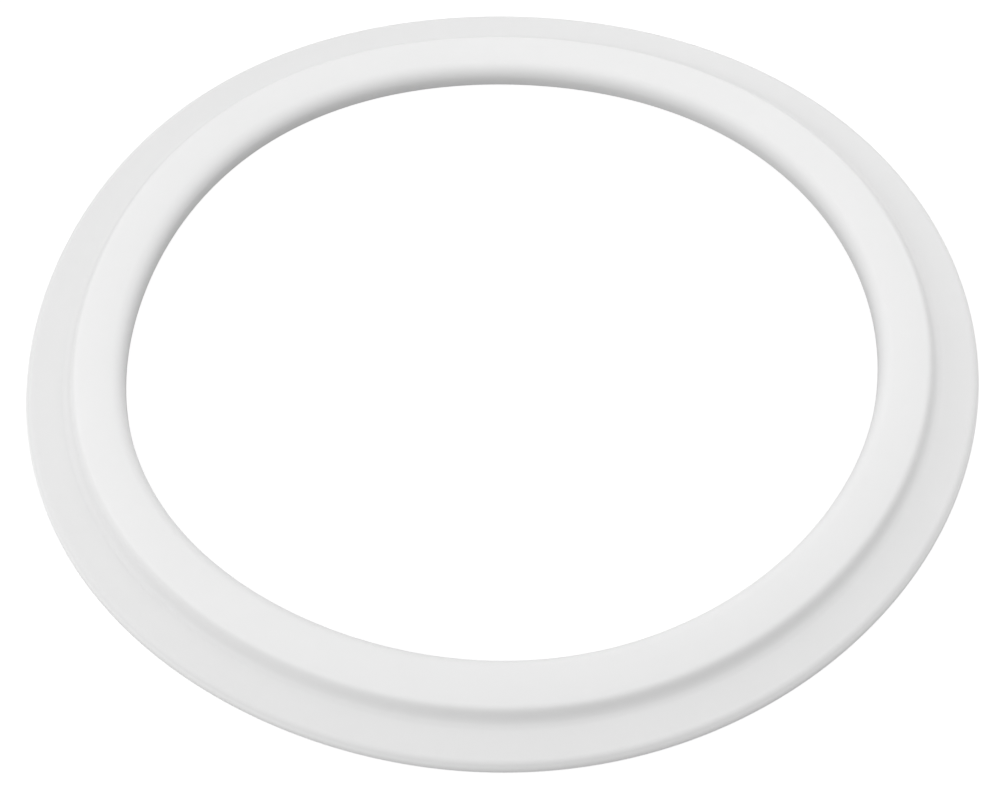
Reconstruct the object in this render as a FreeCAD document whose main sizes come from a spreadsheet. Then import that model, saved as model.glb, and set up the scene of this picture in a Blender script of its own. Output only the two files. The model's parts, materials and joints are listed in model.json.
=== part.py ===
"""Stepped o-ring seal: a moulded silicone ring with a crowned band round its bore and a thin flange outside.

Lengths are in millimetres. +Z is up, the flat underside lies on Z = 0 and the ring's axis is the Z axis.
The lower half of the mould is a flat plate, so the underside has no step and its two edges are left sharp.
"""
import FreeCAD, Part
import os
import Sketcher
from FreeCAD import Vector

# Driving dimensions of the ring: alias, value and what the value is.
SIZES = [
    ("bore_diameter", 78.7, "diameter of the bore's straight wall"),
    ("band_width", 6.15, "from the bore's wall out to the foot of the step"),
    ("flange_width", 4.5, "from the foot of the step out to the rim"),
    ("flange_thickness", 1.1, "from the flat underside to the flange's top face"),
    ("step_height", 1.5, "from the flange's top face to the crest of the band"),
    ("crown_radius", 19.0, "radius of the gentle dome across the band's top"),
    ("riser_draft", 27.0, "degrees that the riser of the step leans inwards"),
    ("root_radius", 1.3, "hollow rounding between the flange and the riser"),
    ("shoulder_radius", 0.9, "rounding between the riser and the band's top"),
    ("bore_edge_radius", 1.5, "rounding between the band's top and the bore"),
    ("rim_edge_radius", 0.8, "rounding between the flange's top face and the rim"),
]

# Sides of the section, counter-clockwise from the bore's lower corner.
UNDERSIDE, RIM, FLANGE_TOP, RISER, CROWN, BORE_WALL = range(6)

# The numbers that a sketch gives to the points of a side, to its own X axis and to its origin.
START, END, CENTRE = 1, 2, 3
X_AXIS = -1
ORIGIN = (-1, 1)

# How far the crown falls from its crest to the band's two corners.
CROWN_FALL = "Sizes.band_width ^ 2 / (8 * Sizes.crown_radius)"

# The largest radius that the riser has room for: its length over the tangent of half the turn at its foot.
RISER_LENGTH = f"(Sizes.step_height - {CROWN_FALL}) / cos(Sizes.riser_draft * 1 deg)"
RISER_ROOM = f"{RISER_LENGTH} / tan((90 - Sizes.riser_draft) / 2 * 1 deg)"
BORE_ROOM = "(Sizes.flange_thickness + Sizes.step_height)"
RIM_ROOM = "Sizes.flange_thickness"

# The most of its wall's room that each rounding may take.
RIM_SHARE = 0.85
ROOT_SHARE = 0.62
SHOULDER_SHARE = 0.43
BORE_SHARE = 0.68

# Each rounding: name, the two sides that it joins, and its radius.
# The radius is its own cell's value, as long as the wall beside it has room for that.
ROUNDINGS = [
    ("rim_edge_radius", RIM, FLANGE_TOP, f"min(Sizes.rim_edge_radius; {RIM_SHARE} * {RIM_ROOM})"),
    ("root_radius", FLANGE_TOP, RISER, f"min(Sizes.root_radius; {ROOT_SHARE} * {RISER_ROOM})"),
    ("shoulder_radius", RISER, CROWN, f"min(Sizes.shoulder_radius; {SHOULDER_SHARE} * {RISER_ROOM})"),
    ("bore_edge_radius", CROWN, BORE_WALL, f"min(Sizes.bore_edge_radius; {BORE_SHARE} * {BORE_ROOM})"),
]


def make_size_sheet(doc):
    """Write each driving dimension as a named cell, with its meaning beside it."""
    sheet = doc.addObject("Spreadsheet::Sheet", "Sizes")
    for row, (alias, value, meaning) in enumerate(SIZES, start=1):
        sheet.set(f"A{row}", alias)
        sheet.set(f"B{row}", str(value))
        sheet.setAlias(f"B{row}", alias)
        sheet.set(f"C{row}", meaning)
    doc.recompute()
    return sheet


def add_section_sketch(body):
    """Put an empty sketch on the body's own XZ plane: its X is the radius and its Y is the height."""
    sketch = body.newObject("Sketcher::SketchObject", "ring_section")
    plane = next(item for item in body.Origin.OriginFeatures if item.Role == "XZ_Plane")
    sketch.AttachmentSupport = [(plane, "")]
    sketch.MapMode = "FlatFace"
    return sketch


def draw_section(sketch, sheet):
    """Draw the six sides with sharp corners, close to where their sizes will put them."""
    bore = sheet.bore_diameter / 2
    foot = bore + sheet.band_width
    rim = foot + sheet.flange_width
    flange_top = sheet.flange_thickness
    crest = flange_top + sheet.step_height
    band_corner = crest - sketch.evalExpression(CROWN_FALL)
    corners = [
        Vector(bore, 0, 0),
        Vector(rim, 0, 0),
        Vector(rim, flange_top, 0),
        Vector(foot, flange_top, 0),
        Vector(foot, band_corner, 0),
        Vector(bore, band_corner, 0),
    ]
    for side in (UNDERSIDE, RIM, FLANGE_TOP, RISER):
        sketch.addGeometry(Part.LineSegment(corners[side], corners[side + 1]), False)
    crown_middle = Vector((bore + foot) / 2, crest, 0)
    sketch.addGeometry(Part.Arc(corners[CROWN], crown_middle, corners[BORE_WALL]), False)
    sketch.addGeometry(Part.LineSegment(corners[BORE_WALL], corners[UNDERSIDE]), False)


def relate_sides(sketch):
    """Join the sides corner to corner and square up the straight ones."""
    sides = (UNDERSIDE, RIM, FLANGE_TOP, RISER, CROWN, BORE_WALL)
    for side, following in zip(sides, sides[1:] + sides[:1]):
        sketch.addConstraint(Sketcher.Constraint("Coincident", side, END, following, START))
    for level_side in (UNDERSIDE, FLANGE_TOP):
        sketch.addConstraint(Sketcher.Constraint("Horizontal", level_side))
    for upright_side in (RIM, BORE_WALL):
        sketch.addConstraint(Sketcher.Constraint("Vertical", upright_side))
    sketch.addConstraint(Sketcher.Constraint("PointOnObject", UNDERSIDE, START, X_AXIS))


def add_size(sketch, name, kind, places, expression):
    """Add one named dimension and bind it to the sheet's cells."""
    value = sketch.evalExpression(expression)
    number = sketch.addConstraint(Sketcher.Constraint(kind, *places, value))
    sketch.renameConstraint(number, name)
    sketch.setExpression(f"Constraints.{name}", expression)


def size_section(sketch):
    """Give the sharp section its sizes. The crown's centre lies under the middle of the band."""
    crown_height = "Sizes.flange_thickness + Sizes.step_height - Sizes.crown_radius"
    band_middle = "(Sizes.bore_diameter + Sizes.band_width) / 2"
    add_size(sketch, "bore_radius", "DistanceX", (*ORIGIN, UNDERSIDE, START), "Sizes.bore_diameter / 2")
    add_size(sketch, "band_width", "DistanceX", (UNDERSIDE, START, RISER, START), "Sizes.band_width")
    add_size(sketch, "flange_width", "DistanceX", (RISER, START, RIM, START), "Sizes.flange_width")
    add_size(sketch, "flange_thickness", "DistanceY", (RIM, START, RIM, END), "Sizes.flange_thickness")
    add_size(sketch, "riser_angle", "Angle", (RISER,), "(90 + Sizes.riser_draft) * 1 deg")
    add_size(sketch, "crown_radius", "Radius", (CROWN,), "Sizes.crown_radius")
    add_size(sketch, "crown_place", "DistanceX", (*ORIGIN, CROWN, CENTRE), band_middle)
    add_size(sketch, "crown_depth", "DistanceY", (*ORIGIN, CROWN, CENTRE), crown_height)


def middle_of(sketch, side):
    """Give the point halfway between a side's two ends, which tells a rounding which side is meant."""
    return (sketch.getPoint(side, START) + sketch.getPoint(side, END)) / 2


def round_corners(sketch):
    """Round the upper corners and the step's root. The sizes of the sharp section keep their meaning."""
    for name, side, following, radius in ROUNDINGS:
        start_radius = float(sketch.evalExpression(radius))
        arc = len(sketch.Geometry)
        on_side = middle_of(sketch, side)
        on_following = middle_of(sketch, following)
        sketch.fillet(side, following, on_side, on_following, start_radius, True, True)
        add_size(sketch, name, "Radius", (arc,), radius)


def turn_section(body, sketch):
    """Turn the section one full turn about the ring's axis."""
    revolution = body.newObject("PartDesign::Revolution", "ring_turn")
    revolution.Profile = sketch
    revolution.ReferenceAxis = (sketch, ["V_Axis"])
    revolution.Angle = 360.0
    sketch.Visibility = False


def make_seal_ring(doc, sheet):
    """Make the ring as one body: its stepped section with rounded corners, and one turn of it."""
    body = doc.addObject("PartDesign::Body", "seal_ring")
    body.Label = "seal_ring"
    sketch = add_section_sketch(body)
    draw_section(sketch, sheet)
    relate_sides(sketch)
    size_section(sketch)
    doc.recompute()
    round_corners(sketch)
    doc.recompute()
    if not sketch.FullyConstrained:
        raise RuntimeError("the ring's section isn't fully constrained")
    turn_section(body, sketch)
    return body


def check_ring(doc, body):
    """Stop if any object failed to recompute, or if the ring isn't one sound solid."""
    for item in doc.Objects:
        if "Invalid" in item.State or "Error" in item.State:
            raise RuntimeError(f"{item.Label} failed: {item.State}")
    shape = body.Shape
    if shape.isNull() or not shape.isValid() or len(shape.Solids) != 1:
        raise RuntimeError(f"{body.Label} isn't one sound solid")


def main():
    doc = FreeCAD.newDocument("stepped_o_ring_seal")
    sheet = make_size_sheet(doc)
    ring = make_seal_ring(doc, sheet)
    doc.recompute()
    check_ring(doc, ring)
    os.makedirs("parts", exist_ok=True)
    ring.Shape.exportStep(f"parts/{ring.Label}.step")
    box = ring.Shape.optimalBoundingBox(False)
    print(f"{ring.Label}: {box.XLength:.2f} x {box.YLength:.2f} x {box.ZLength:.2f} mm")
    print(f"{ring.Label}: {ring.Shape.Volume:.1f} cubic mm")


main()
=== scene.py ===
"""Looks of a stepped sealing ring: soft white silicone, lying on a plain white floor in soft studio light.

Lengths are in metres and angles in degrees. The ring lies on Z = 0 and its axis is the Z axis.
Its section is drawn outwards and upwards from the foot of the bore's wall, and is swept once round the bore.
"""
import json
import math

import bpy
from mathutils import Matrix, Vector


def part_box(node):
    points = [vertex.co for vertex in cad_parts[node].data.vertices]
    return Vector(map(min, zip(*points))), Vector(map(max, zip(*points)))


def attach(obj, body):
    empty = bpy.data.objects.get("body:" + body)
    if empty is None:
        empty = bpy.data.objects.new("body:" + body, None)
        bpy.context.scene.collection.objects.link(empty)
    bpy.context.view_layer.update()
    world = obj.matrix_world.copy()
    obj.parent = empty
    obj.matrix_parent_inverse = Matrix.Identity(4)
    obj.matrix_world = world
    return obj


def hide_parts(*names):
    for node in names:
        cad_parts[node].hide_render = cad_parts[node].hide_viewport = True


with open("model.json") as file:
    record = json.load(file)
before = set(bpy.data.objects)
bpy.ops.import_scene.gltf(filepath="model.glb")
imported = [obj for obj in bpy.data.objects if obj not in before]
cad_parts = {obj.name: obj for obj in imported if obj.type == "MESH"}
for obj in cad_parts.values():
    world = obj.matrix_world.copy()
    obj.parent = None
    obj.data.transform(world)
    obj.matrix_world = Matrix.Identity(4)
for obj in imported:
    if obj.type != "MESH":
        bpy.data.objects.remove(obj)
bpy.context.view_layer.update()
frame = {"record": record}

MM = 0.001

# The outer sizes are the CAD ring's own, and the seats are the mounts in its record.
ring_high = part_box("seal_ring")[1]
seats = {mount["name"]: mount for mount in frame["record"]["mounts"]}
outer_radius = ring_high.x
bore_radius = seats["bore"]["dims"]["r_mm"] * MM

# Lengths of the section, by the name that each has as an input of the ring's node tree.
RING_LENGTHS = {
    "Bore radius": bore_radius,
    "Ring width": outer_radius - bore_radius,
    "Flange thickness": seats["flange_top"]["pos_m"][2],
    "Step height": 1.5 * MM,
    "Band width": 6.15 * MM,
    "Crown radius": 19.0 * MM,
    "Rim edge radius": 0.8 * MM,
    "Root radius": 1.3 * MM,
    "Shoulder radius": 0.9 * MM,
    "Bore edge radius": 1.5 * MM,
    "Lower edge radius": 0.06 * MM,
}
RING_ANGLES = {
    "Riser draft": 27.0,
    "Crown slope": 5.0,
}

# How finely the section's roundings and the turn round the bore are divided.
TURN_STEPS = 720
LOWER_EDGE_STEPS = 8
RIM_EDGE_STEPS = 12
ROOT_STEPS = 12
SHOULDER_STEPS = 10
CROWN_STEPS = 10
BORE_EDGE_STEPS = 16

# A soft ring never lies quite round. The whole ring sways in and out, and its bore a little more by itself.
# Each lobe: how many times it repeats round the ring, how far it sways, and the angle of one of its peaks.
LOBES = {
    "Ring": [
        (3, 0.249 * MM, 19.2),
        (4, 0.234 * MM, 32.4),
        (5, 0.141 * MM, -14.4),
    ],
    "Bore": [
        (2, 0.251 * MM, 4.5),
        (3, 0.124 * MM, -34.2),
    ],
}

# The photograph's frame, and where the centre of the ring's underside lies in it, in pixels.
PICTURE_WIDTH = 1000
PICTURE_HEIGHT = 803
CENTRE_IN_PICTURE = (500.78, 345.14)

# The camera's distance from that centre, its angle over the floor and its turn about its own line of sight.
# Its lens and its sensor's width are in millimetres.
CAMERA_DISTANCE = 230.9 * MM
CAMERA_HEIGHT_ANGLE = 51.5
CAMERA_ROLL = -1.097
LENS = 78.61
SENSOR_WIDTH = 36.0

# Silicone's white, and how many times as white it is painted where the ring is thin and low, on its rim, on
# the riser of the step and at the foot of the bore. Those factors are painted light and shade: painted shade
# on the thin flange, on the riser and at the bore's foot, and a painted glow on the thin rim that stands for
# light passing through it.
SILICONE_WHITE = 0.87
THIN_PAINTED_SHADE = 0.94
RIM_PAINTED_GLOW = 1.13
STEP_PAINTED_SHADE = 0.93
FOOT_PAINTED_SHADE = 0.9

# Between which values each of those comes or goes: heights over the floor, one of them in shares of the
# flange's thickness, and how far the skin faces away from the ring's axis.
THIN_TO_THICK = (1.2 * MM, 2.4 * MM)
FLANGE_TO_STEP = (0.98, 1.2)
WALL_TO_FOOT = (1.5 * MM, 0.3 * MM)
FACING_OUTWARDS = (0.3, 0.8)
FACING_AS_RIM = (0.6, 0.95)
FACING_AS_BORE = (-0.5, -0.95)

# Blotches of the skin: how wide they are, how much darker and lighter they get, how high they stand, and how
# many finer layers each has. Noise lies evenly on both sides of its middle.
CLOUD_SIZE = 9.0 * MM
CLOUD_DEPTH = 0.02
CLOUD_BUMP = 0.02 * MM
CLOUD_LAYERS = 3.0
MOTTLE_SIZE = 1.6 * MM
MOTTLE_DEPTH = 0.012
MOTTLE_BUMP = 0.004 * MM
MOTTLE_LAYERS = 2.0
GRAIN_SIZE = 0.12 * MM
GRAIN_BUMP = 0.002 * MM
GRAIN_LAYERS = 2.0
NOISE_MIDDLE = 0.5

# Rare specks: how far apart their places lie, their radius, the share of places with one, and how dark it is.
SPECK_SPACING = 5.0 * MM
SPECK_RADIUS = 0.22 * MM
SPECK_SHARE = 0.2
SPECK_DARKNESS = 0.06

# The satin gloss of the skin, and the share of light that gets in and how far it spreads inside.
SATIN_ROUGHNESS = 0.55
SATIN_SPREAD = 0.1
SATIN_SHINE = 0.25
SILICONE_IOR = 1.41
LIGHT_LET_IN = 0.12
LIGHT_REACH = 0.5 * MM
ALL_COLOURS_ALIKE = (1.0, 1.0, 1.0)

# The floor lies just under the ring. It gives a darker white back than the camera sees, and the camera sees
# an even glow and over it a lit layer, on which the ring's shadow falls.
FLOOR_HALF_WIDTH = 3.0
FLOOR_DROP = 0.02 * MM
FLOOR_GIVES_BACK = 0.4
FLOOR_SHADOW_DEPTH = 0.3
FLOOR_GLOW = 0.8

# The even light from all round. The camera itself sees it as plain white, 1.
AMBIENT_LIGHT = 0.594

# Lamps round the ring: name, angle round from +X, height angle, distance, width and power in watts.
LAMPS = [
    ("low_left_softbox", 180.0, 12.0, 1.0, 0.6, 2.23),
    ("front_left_softbox", 225.0, 40.0, 1.0, 0.6, 1.28),
    ("back_right_softbox", 45.0, 45.0, 0.3, 0.2, 0.159),
    ("back_softbox", 90.0, 45.0, 0.3, 0.2, 0.059),
    ("right_softbox", 0.0, 45.0, 0.3, 0.2, 0.068),
    ("left_lamp", 195.0, 45.0, 0.11, 0.07, 0.0084),
]


class Number:
    """A number inside a node tree. Arithmetic between numbers adds Math nodes to the tree."""

    def __init__(self, tree, socket):
        self.tree = tree
        self.socket = socket

    def __add__(self, other):
        return maths(self.tree, "ADD", self, other)

    def __radd__(self, other):
        return maths(self.tree, "ADD", other, self)

    def __sub__(self, other):
        return maths(self.tree, "SUBTRACT", self, other)

    def __rsub__(self, other):
        return maths(self.tree, "SUBTRACT", other, self)

    def __mul__(self, other):
        return maths(self.tree, "MULTIPLY", self, other)

    def __truediv__(self, other):
        return maths(self.tree, "DIVIDE", self, other)

    def __rtruediv__(self, other):
        return maths(self.tree, "DIVIDE", other, self)


def feed(tree, socket, value):
    """Give a node's input either a plain value or another node's output."""
    if isinstance(value, Number):
        value = value.socket
    if isinstance(value, bpy.types.NodeSocket):
        tree.links.new(value, socket)
    else:
        socket.default_value = value


def add_node(tree, kind, settings=None, **inputs):
    """Add a node with its settings and its inputs, whose names are written with underscores for spaces."""
    node = tree.nodes.new(kind)
    for name, value in (settings or {}).items():
        setattr(node, name, value)
    for name, value in inputs.items():
        feed(tree, node.inputs[name.replace("_", " ")], value)
    return node


def operate(tree, kind, operation, terms):
    """Add a node of this kind that carries out an operation on the given terms."""
    node = add_node(tree, kind, {"operation": operation})
    for socket, term in zip(node.inputs, terms):
        feed(tree, socket, term)
    return node


def maths(tree, operation, *terms):
    """Add a Math node on the given terms."""
    return Number(tree, operate(tree, "ShaderNodeMath", operation, terms).outputs[0])


def vector(tree, x=0.0, y=0.0, z=0.0):
    """Join three numbers into a vector."""
    return add_node(tree, "ShaderNodeCombineXYZ", X=x, Y=y, Z=z).outputs[0]


def add_range(tree, value, source, target=(0.0, 1.0), curve="SMOOTHSTEP"):
    """Carry a number from one range to another without leaving the second."""
    spread = add_node(
        tree,
        "ShaderNodeMapRange",
        {"interpolation_type": curve},
        Value=value,
        From_Min=source[0],
        From_Max=source[1],
        To_Min=target[0],
        To_Max=target[1],
    )
    return Number(tree, spread.outputs["Result"])


def pick_by_index(tree, data_type, values):
    """Pick the value that has the same number in the list as the point has in its curve."""
    switch = add_node(tree, "GeometryNodeIndexSwitch", {"data_type": data_type})
    while len(switch.index_switch_items) < len(values):
        switch.index_switch_items.new()
    feed(tree, switch.inputs["Index"], add_node(tree, "GeometryNodeInputIndex").outputs[0])
    for number, value in enumerate(values):
        feed(tree, switch.inputs[str(number)], value)
    return switch.outputs[0]


def add_input(tree, name, subtype):
    """Add one named number to the tree's inputs."""
    socket = tree.interface.new_socket(name=name, in_out="INPUT", socket_type="NodeSocketFloat")
    socket.subtype = subtype


def lobe_names(edge, count):
    """Names of the two inputs of a lobe that repeats so many times round the ring."""
    return f"{edge} lobes of {count} sway", f"{edge} lobes of {count} turn"


def section_corners(tree, size):
    """The section's sharp corners, each with the radius and the number of steps that round it.

    The corners go from the bore's foot out along the underside, up the rim, in over the flange, up the riser
    and back over the crown, whose peak is a corner too: its large radius makes the gentle dome.
    The shoulder's corner is where the leaning riser meets the crown's outer slope.
    """
    ring_width, band_width = size["Ring width"], size["Band width"]
    flange_top = size["Flange thickness"]
    crown_middle = band_width / 2
    slope = maths(tree, "TANGENT", size["Crown slope"])
    lean = maths(tree, "TANGENT", size["Riser draft"])
    stretch = 1 / maths(tree, "COSINE", size["Crown slope"])
    peak_over_flange = size["Step height"] + size["Crown radius"] * (stretch - 1)
    peak_height = flange_top + peak_over_flange
    shoulder_out = (band_width - (peak_over_flange + crown_middle * slope) * lean) / (1 - slope * lean)
    shoulder_height = peak_height - (shoulder_out - crown_middle) * slope
    bore_top = peak_height - crown_middle * slope
    lower_radius = size["Lower edge radius"]
    return [
        (vector(tree), lower_radius, LOWER_EDGE_STEPS),
        (vector(tree, ring_width), lower_radius, LOWER_EDGE_STEPS),
        (vector(tree, ring_width, flange_top), size["Rim edge radius"], RIM_EDGE_STEPS),
        (vector(tree, band_width, flange_top), size["Root radius"], ROOT_STEPS),
        (vector(tree, shoulder_out, shoulder_height), size["Shoulder radius"], SHOULDER_STEPS),
        (vector(tree, crown_middle, peak_height), size["Crown radius"], CROWN_STEPS),
        (vector(tree, 0.0, bore_top), size["Bore edge radius"], BORE_EDGE_STEPS),
    ]


def add_section(tree, size):
    """Draw the section as one closed curve with rounded corners."""
    places, radii, steps = zip(*section_corners(tree, size))
    ring_of_points = add_node(tree, "GeometryNodeCurvePrimitiveCircle", Resolution=len(places))
    polygon = add_node(
        tree,
        "GeometryNodeSetPosition",
        Geometry=ring_of_points.outputs["Curve"],
        Position=pick_by_index(tree, "VECTOR", places),
    )
    rounded = add_node(
        tree,
        "GeometryNodeFilletCurve",
        {"mode": "POLY"},
        Curve=polygon.outputs[0],
        Count=pick_by_index(tree, "INT", steps),
        Radius=pick_by_index(tree, "FLOAT", radii),
        Limit_Radius=True,
    )
    return rounded.outputs[0]


def add_sway(tree, size, edge, angle):
    """Add up the lobes of the ring or of its bore, at an angle round the axis."""
    sway = 0
    for count, _, _ in LOBES[edge]:
        sway_name, turn_name = lobe_names(edge, count)
        sway = sway + maths(tree, "COSINE", (angle - size[turn_name]) * count) * size[sway_name]
    return sway


def add_rest_shape(tree, size):
    """Work out how far each point strays from a round ring, as an offset."""
    place = add_node(tree, "GeometryNodeInputPosition").outputs[0]
    along = add_node(tree, "ShaderNodeSeparateXYZ", Vector=place).outputs
    x, y = (Number(tree, along[axis]) for axis in "XY")
    angle = maths(tree, "ARCTAN2", y, x)
    radius = maths(tree, "SQRT", x * x + y * y)
    foot_radius = size["Bore radius"] + size["Band width"]
    band_share = add_range(tree, radius, (foot_radius, size["Bore radius"]), curve="LINEAR")
    sway = add_sway(tree, size, "Ring", angle) + add_sway(tree, size, "Bore", angle) * band_share
    return vector(tree, maths(tree, "COSINE", angle) * sway, maths(tree, "SINE", angle) * sway)


def add_ring_inputs(tree):
    """Give the tree its named lengths and angles, and hand them back as numbers by name."""
    for name in RING_LENGTHS:
        add_input(tree, name, "DISTANCE")
    for name in RING_ANGLES:
        add_input(tree, name, "ANGLE")
    for edge, lobes in LOBES.items():
        for count, _, _ in lobes:
            sway_name, turn_name = lobe_names(edge, count)
            add_input(tree, sway_name, "DISTANCE")
            add_input(tree, turn_name, "ANGLE")
    group_in = add_node(tree, "NodeGroupInput")
    return {socket.name: Number(tree, socket) for socket in group_in.outputs if socket.name}


def sweep_section(tree, size):
    """Sweep the section once round the bore, so that it points outwards and upwards.

    Along a circle's own turn it would hang upside down. So the turn runs the other way round, and the section
    is tilted by half a turn.
    """
    turn = add_node(
        tree, "GeometryNodeCurvePrimitiveCircle", Resolution=TURN_STEPS, Radius=size["Bore radius"]
    )
    clockwise = add_node(tree, "GeometryNodeReverseCurve", Curve=turn.outputs["Curve"])
    upright = add_node(tree, "GeometryNodeSetCurveTilt", Curve=clockwise.outputs[0], Tilt=math.pi)
    swept = add_node(
        tree,
        "GeometryNodeCurveToMesh",
        Curve=upright.outputs[0],
        Profile_Curve=add_section(tree, size),
    )
    return swept.outputs[0]


def ring_tree(material):
    """Build the node tree that makes the ring: its section, one turn round the bore, lobes and material."""
    tree = bpy.data.node_groups.new("seal_ring_shape", "GeometryNodeTree")
    tree.interface.new_socket(name="Ring", in_out="OUTPUT", socket_type="NodeSocketGeometry")
    size = add_ring_inputs(tree)
    rested = add_node(
        tree,
        "GeometryNodeSetPosition",
        Geometry=sweep_section(tree, size),
        Offset=add_rest_shape(tree, size),
    )
    smooth = add_node(tree, "GeometryNodeSetShadeSmooth", Geometry=rested.outputs[0])
    realized = add_node(tree, "GeometryNodeRealizeInstances", Geometry=smooth.outputs[0])
    finished = add_node(tree, "GeometryNodeSetMaterial", Geometry=realized.outputs[0], Material=material)
    add_node(tree, "NodeGroupOutput", Ring=finished.outputs[0])
    return tree


def ring_inputs():
    """Every input of the ring's tree by name, angles in radians."""
    values = dict(RING_LENGTHS)
    values.update({name: math.radians(angle) for name, angle in RING_ANGLES.items()})
    for edge, lobes in LOBES.items():
        for count, sway, turn in lobes:
            sway_name, turn_name = lobe_names(edge, count)
            values[sway_name] = sway
            values[turn_name] = math.radians(turn)
    return values


def grey(value):
    """An even grey or white as a colour."""
    return (value, value, value, 1.0)


def link_object(name, data):
    """Make an object of this data in the scene."""
    thing = bpy.data.objects.new(name, data)
    bpy.context.scene.collection.objects.link(thing)
    return thing


def make_ring(material):
    """Make the silicone ring as a plain mesh from its node tree, with its flat faces shaded flat."""
    ring = link_object("silicone_ring", bpy.data.meshes.new("silicone_ring"))
    shaper = ring.modifiers.new("ring_shape", "NODES")
    shaper.node_group = ring_tree(material)
    values = ring_inputs()
    for socket in shaper.node_group.interface.items_tree:
        if socket.in_out == "INPUT":
            shaper[socket.identifier] = values[socket.name]
    ring.modifiers.new("even_shading", "WEIGHTED_NORMAL").mode = "FACE_AREA"
    evaluated = ring.evaluated_get(bpy.context.evaluated_depsgraph_get())
    ring_mesh = bpy.data.meshes.new_from_object(evaluated)
    ring.modifiers.clear()
    ring.data = ring_mesh
    return ring


def add_noise(tree, place, width, layers):
    """Add soft noise whose blotches are about this many metres wide, with so many finer layers."""
    noise = add_node(tree, "ShaderNodeTexNoise", Vector=place, Scale=1.0 / width, Detail=layers)
    return Number(tree, noise.outputs["Fac"])


def add_specks(tree, place):
    """Spread rare pin-sized specks over the skin: 1 on a speck, 0 off it."""
    cells = add_node(tree, "ShaderNodeTexVoronoi", Vector=place, Scale=1.0 / SPECK_SPACING)
    spot = add_range(tree, cells.outputs["Distance"], (SPECK_RADIUS / SPECK_SPACING, 0.0))
    chance = add_node(tree, "ShaderNodeSeparateColor", Color=cells.outputs["Color"])
    chosen = maths(tree, "GREATER_THAN", chance.outputs["Red"], 1.0 - SPECK_SHARE)
    return spot * chosen


def add_bump(tree, height, depth, below=None):
    """Raise the skin by this height, so many metres deep, over the bump below it."""
    bump = add_node(tree, "ShaderNodeBump", Height=height, Distance=depth)
    if below:
        feed(tree, bump.inputs["Normal"], below)
    return bump.outputs["Normal"]


def facing_out(tree, place):
    """How far the skin faces away from the ring's axis: 1 on the rim, 0 on a level face, -1 in the bore."""
    kind = "ShaderNodeVectorMath"
    keep_x_and_y = (1.0, 1.0, 0.0)
    normal = add_node(tree, "ShaderNodeTexCoord").outputs["Normal"]
    level_place = operate(tree, kind, "MULTIPLY", (place, keep_x_and_y))
    outwards = operate(tree, kind, "NORMALIZE", (level_place.outputs[0],))
    facing = operate(tree, kind, "DOT_PRODUCT", (outwards.outputs[0], normal))
    return Number(tree, facing.outputs["Value"])


def add_edge_tints(tree, place, height):
    """Painted light and shade: a painted glow on the thin rim, for light that passes through it, and painted
    shade on the riser of the step and at the bore's foot.
    """
    facing = facing_out(tree, place)
    flange_to_step = [share * RING_LENGTHS["Flange thickness"] for share in FLANGE_TO_STEP]
    outward = add_range(tree, facing, FACING_OUTWARDS)
    upright = add_range(tree, facing, FACING_AS_RIM)
    inward = add_range(tree, facing, FACING_AS_BORE)
    over_flange = add_range(tree, height, flange_to_step)
    at_foot = add_range(tree, height, WALL_TO_FOOT)
    # Painted light: the rim is painted whiter as a glow, and the riser and the bore's foot are painted greyer
    # as shade.
    rim = 1 + upright * (1 - over_flange) * (RIM_PAINTED_GLOW - 1.0)
    riser = 1 + outward * over_flange * (STEP_PAINTED_SHADE - 1.0)
    foot = 1 + inward * at_foot * (FOOT_PAINTED_SHADE - 1.0)
    return rim * riser * foot


def add_white(tree, place, clouds, mottle):
    """The skin's white: a little cloudy and mottled, darker on its specks, with painted shade on the thin
    flange, the riser and the bore's foot and a painted glow on the rim.
    """
    height = add_node(tree, "ShaderNodeSeparateXYZ", Vector=place).outputs["Z"]
    # Painted shade: the thin flange and the low parts of the walls are painted greyer than the crown.
    thin_painted_shade = add_range(tree, height, THIN_TO_THICK, (THIN_PAINTED_SHADE, 1.0))
    body = thin_painted_shade * add_edge_tints(tree, place, height)
    cloudy = (clouds - NOISE_MIDDLE) * CLOUD_DEPTH
    mottled = (mottle - NOISE_MIDDLE) * MOTTLE_DEPTH
    shade = cloudy + mottled + SILICONE_WHITE
    shade = shade * body * (1 - add_specks(tree, place) * SPECK_DARKNESS)
    return add_node(tree, "ShaderNodeCombineColor", Red=shade, Green=shade, Blue=shade).outputs[0]


def silicone_material():
    """White silicone: a satin moulded skin, a little cloudy and finely grained, that lets some light in."""
    material = bpy.data.materials.new("white_silicone")
    material.use_nodes = True
    tree = material.node_tree
    shader = next(node for node in tree.nodes if node.type == "BSDF_PRINCIPLED")
    place = add_node(tree, "ShaderNodeTexCoord").outputs["Object"]
    clouds = add_noise(tree, place, CLOUD_SIZE, CLOUD_LAYERS)
    mottle = add_noise(tree, place, MOTTLE_SIZE, MOTTLE_LAYERS)
    grain = add_noise(tree, place, GRAIN_SIZE, GRAIN_LAYERS)
    wavy = add_bump(tree, clouds, CLOUD_BUMP)
    peel = add_bump(tree, mottle, MOTTLE_BUMP, wavy)
    skin = {
        # The base colour holds painted light and shade as well as the silicone's own white.
        "Base Color": add_white(tree, place, clouds, mottle),
        "Roughness": SATIN_ROUGHNESS + (mottle - NOISE_MIDDLE) * SATIN_SPREAD,
        "Normal": add_bump(tree, grain, GRAIN_BUMP, peel),
        "Subsurface Weight": LIGHT_LET_IN,
        "Subsurface Radius": ALL_COLOURS_ALIKE,
        "Subsurface Scale": LIGHT_REACH,
        "IOR": SILICONE_IOR,
        "Specular IOR Level": SATIN_SHINE,
    }
    for name, value in skin.items():
        feed(tree, shader.inputs[name], value)
    return material


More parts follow.
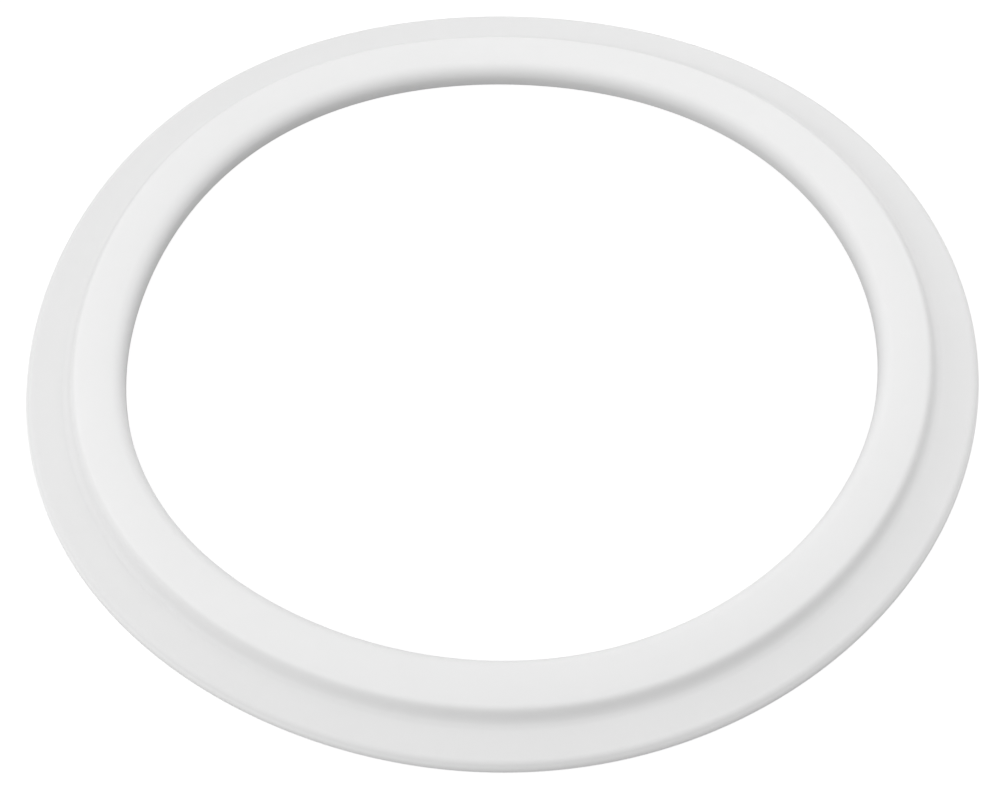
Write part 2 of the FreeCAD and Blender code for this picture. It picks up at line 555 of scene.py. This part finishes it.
def seen_directly(tree):
    """1 for the camera's own rays and for those that gloss or glass passes on, 0 for light that scatters."""
    rays = add_node(tree, "ShaderNodeLightPath").outputs
    glossy = maths(tree, "MAXIMUM", rays["Is Camera Ray"], rays["Is Glossy Ray"])
    return maths(tree, "MAXIMUM", glossy, rays["Is Transmission Ray"])


def floor_material():
    """Plain white floor that keeps the ring's shadow. It looks whiter than the light that it gives back."""
    material = bpy.data.materials.new("white_floor")
    material.use_nodes = True
    tree = material.node_tree
    tree.nodes.clear()
    lit = add_node(tree, "ShaderNodeBsdfDiffuse", Color=grey(FLOOR_GIVES_BACK))
    shadowed = add_node(tree, "ShaderNodeBsdfDiffuse", Color=grey(FLOOR_SHADOW_DEPTH))
    glow = add_node(tree, "ShaderNodeEmission", Color=grey(1.0), Strength=FLOOR_GLOW)
    seen = add_node(tree, "ShaderNodeAddShader")
    feed(tree, seen.inputs[0], shadowed.outputs[0])
    feed(tree, seen.inputs[1], glow.outputs[0])
    surface = add_node(tree, "ShaderNodeMixShader", Fac=seen_directly(tree))
    feed(tree, surface.inputs[1], lit.outputs[0])
    feed(tree, surface.inputs[2], seen.outputs[0])
    add_node(tree, "ShaderNodeOutputMaterial", Surface=surface.outputs[0])
    return material


def make_floor():
    """A wide plain floor just under the ring."""
    half = FLOOR_HALF_WIDTH
    corners = [(x, y, -FLOOR_DROP) for x, y in ((-half, -half), (half, -half), (half, half), (-half, half))]
    mesh = bpy.data.meshes.new("floor")
    mesh.from_pydata(corners, [], [(0, 1, 2, 3)])
    mesh.materials.append(floor_material())
    floor = link_object("floor", mesh)


def make_camera():
    """Set the camera at the photograph's viewpoint, with the ring's centre where the photograph has it."""
    height_angle = math.radians(CAMERA_HEIGHT_ANGLE)
    back = Vector((0.0, -math.cos(height_angle), math.sin(height_angle)))
    right = Vector((1.0, 0.0, 0.0))
    level = Matrix((right, back.cross(right), back)).transposed()
    roll = Matrix.Rotation(math.radians(CAMERA_ROLL), 3, "Z")
    focal_pixels = LENS / SENSOR_WIDTH * PICTURE_WIDTH
    off_x = CENTRE_IN_PICTURE[0] - PICTURE_WIDTH / 2
    off_y = PICTURE_HEIGHT / 2 - CENTRE_IN_PICTURE[1]
    to_centre = Vector((off_x, off_y, -focal_pixels))
    turn = Vector((0.0, 0.0, -1.0)).rotation_difference(to_centre).to_matrix()

    lens = bpy.data.cameras.new("camera")
    lens.lens = LENS
    lens.sensor_width = SENSOR_WIDTH
    camera = link_object("camera", lens)
    place = Matrix.Translation(back * CAMERA_DISTANCE)
    camera.matrix_world = place @ (level @ roll @ turn.inverted()).to_4x4()
    bpy.context.scene.camera = camera


def make_lamps():
    """Set the lamps round the ring, each facing it and out of the camera's sight."""
    for name, turn, rise, distance, width, power in LAMPS:
        turn_angle, rise_angle = math.radians(turn), math.radians(rise)
        level = math.cos(rise_angle)
        towards = Vector((math.cos(turn_angle) * level, math.sin(turn_angle) * level, math.sin(rise_angle)))
        light = bpy.data.lights.new(name, "AREA")
        light.shape = "DISK"
        light.size = width
        light.energy = power
        lamp = link_object(name, light)
        lamp.location = towards * distance
        lamp.rotation_euler = towards.to_track_quat("Z", "Y").to_euler()
        lamp.visible_camera = False


def make_world():
    """Even soft light from all round, and plain white where the camera sees past the floor."""
    world = bpy.data.worlds.new("white_studio")
    bpy.context.scene.world = world
    world.use_nodes = True
    tree = world.node_tree
    tree.nodes.clear()
    strength = seen_directly(tree) * (1.0 - AMBIENT_LIGHT) + AMBIENT_LIGHT
    air = add_node(tree, "ShaderNodeBackground", Color=grey(1.0), Strength=strength)
    add_node(tree, "ShaderNodeOutputWorld", Surface=air.outputs[0])


ring = make_ring(silicone_material())
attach(ring, "root")
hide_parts("seal_ring")
make_floor()
make_camera()
make_lamps()
make_world()
bpy.context.scene.view_settings.view_transform = "Standard"
